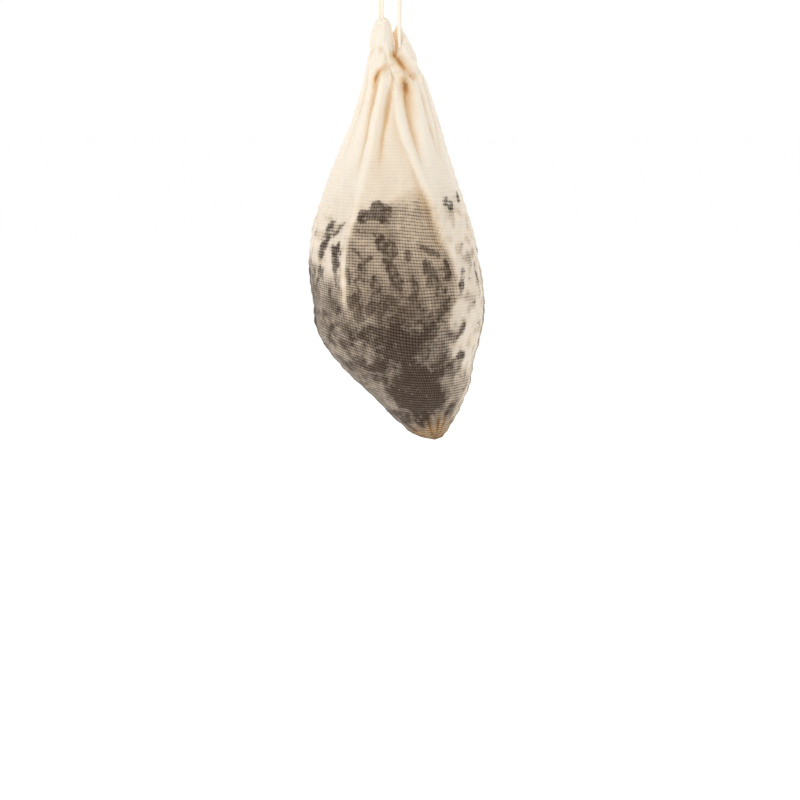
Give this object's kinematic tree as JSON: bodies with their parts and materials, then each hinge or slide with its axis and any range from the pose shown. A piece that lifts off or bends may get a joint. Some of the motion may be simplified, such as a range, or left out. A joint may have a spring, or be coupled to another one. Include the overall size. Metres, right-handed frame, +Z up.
{
  "type": "cotton tea filter bag",
  "caption": "Gathered cotton muslin drawstring bag full of soaked tea, hanging by its strings with one bottom corner lowest.",
  "frame": {"origin": "the point where the two knotted strings are held, above the middle of the mouth", "axes": "+Z up along the taut strings, +X towards the side of the low corner, -Y towards the front"},
  "size_m": [0.049, 0.042, 0.1445],
  "materials": {
    "muslin": "wet unbleached plain-weave cotton, stained by tea",
    "wet_tea": "soaked black whole-leaf tea",
    "cotton_string": "soft twisted cotton string"
  },
  "bodies": {
    "root": {"cloth_bag": "muslin", "tea_leaves": "wet_tea", "drawstring_left": "cotton_string", "drawstring_right": "cotton_string", "knot_left": "cotton_string", "knot_right": "cotton_string"}
  },
  "joints": []
}
